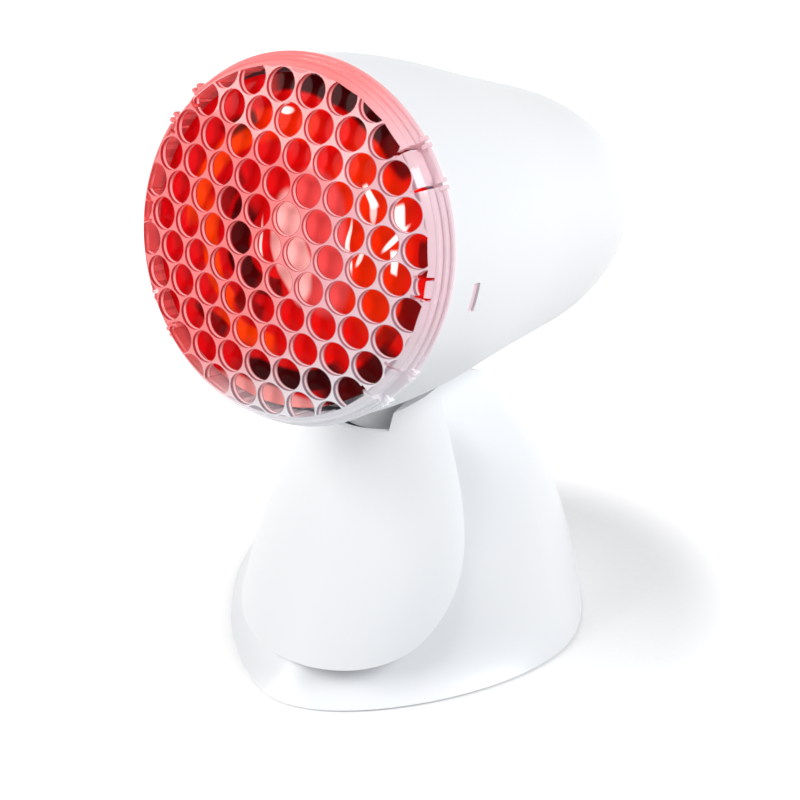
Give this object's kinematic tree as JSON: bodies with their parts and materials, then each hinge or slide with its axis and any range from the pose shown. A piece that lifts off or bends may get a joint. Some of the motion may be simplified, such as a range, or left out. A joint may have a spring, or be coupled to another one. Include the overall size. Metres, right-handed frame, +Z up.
{
  "type": "infrared heat lamp",
  "caption": "Table-top infrared heat lamp: bullet-shaped head with a clear perforated guard over a red reflector bulb, tilting in steps on an egg-shaped pedestal.",
  "frame": {"origin": "on the table under the middle of the pedestal, in the lamp's mid-plane", "axes": "+Z up, -Y towards the side that the lamp shines at, +X to the right as seen from the front"},
  "size_m": [0.1616, 0.2461, 0.2641],
  "materials": {
    "white_plastic": "satin gloss",
    "grey_plastic": "fine texture",
    "terminal_plastic": "matt",
    "washer_plastic": "matt",
    "zinc_steel": "zinc plated",
    "spring_steel": "blued",
    "screw_steel": "zinc plated",
    "cast_iron": "as cast",
    "rubber": "matt",
    "lead_insulation": "heat resistant sleeve",
    "clear_guard": "clear moulded",
    "red_glass": "ruby, smooth",
    "silvered_glass": "mirrored inside",
    "aluminium_sheet": "plain",
    "ceramic": "glazed ceramic",
    "brass": "plain",
    "filament_metal": "dull"
  },
  "bodies": {
    "base": {"base_back_shell": "white_plastic", "base_front_cover": "white_plastic", "stand_frame": "zinc_steel", "detent_leaf": "spring_steel", "base_plate": "grey_plastic", "rubber_feet": "rubber", "base_screws": "screw_steel", "frame_screws": "screw_steel", "cover_screws": "screw_steel", "ballast_weight": "cast_iron", "terminal_block": "terminal_plastic", "terminal_screws": "brass", "cord_bush": "rubber", "base_lead": "lead_insulation", "pivot_pins": "zinc_steel", "hinge_washers": "washer_plastic"},
    "head": {"head_shell": "white_plastic", "guard_grille": "clear_guard", "bulb_lens": "red_glass", "bulb_glass": "silvered_glass", "bulb_cap": "aluminium_sheet", "bulb_tip": "brass", "bulb_filament": "filament_metal", "lamp_holder": "ceramic", "holder_sleeve": "brass", "holder_contact": "brass", "holder_bracket": "zinc_steel", "holder_screws": "screw_steel", "heat_shield": "aluminium_sheet", "tilt_arm": "white_plastic", "arm_screws": "screw_steel", "head_lead": "lead_insulation"}
  },
  "joints": [
    {"name": "head_tilt", "type": "hinge", "parent": "base", "child": "head", "pos_m": [0, -0.006, 0.1], "axis": [-1, 0, 0], "range_deg": [-15, 15], "deforming": ["detent_leaf"]}
  ]
}
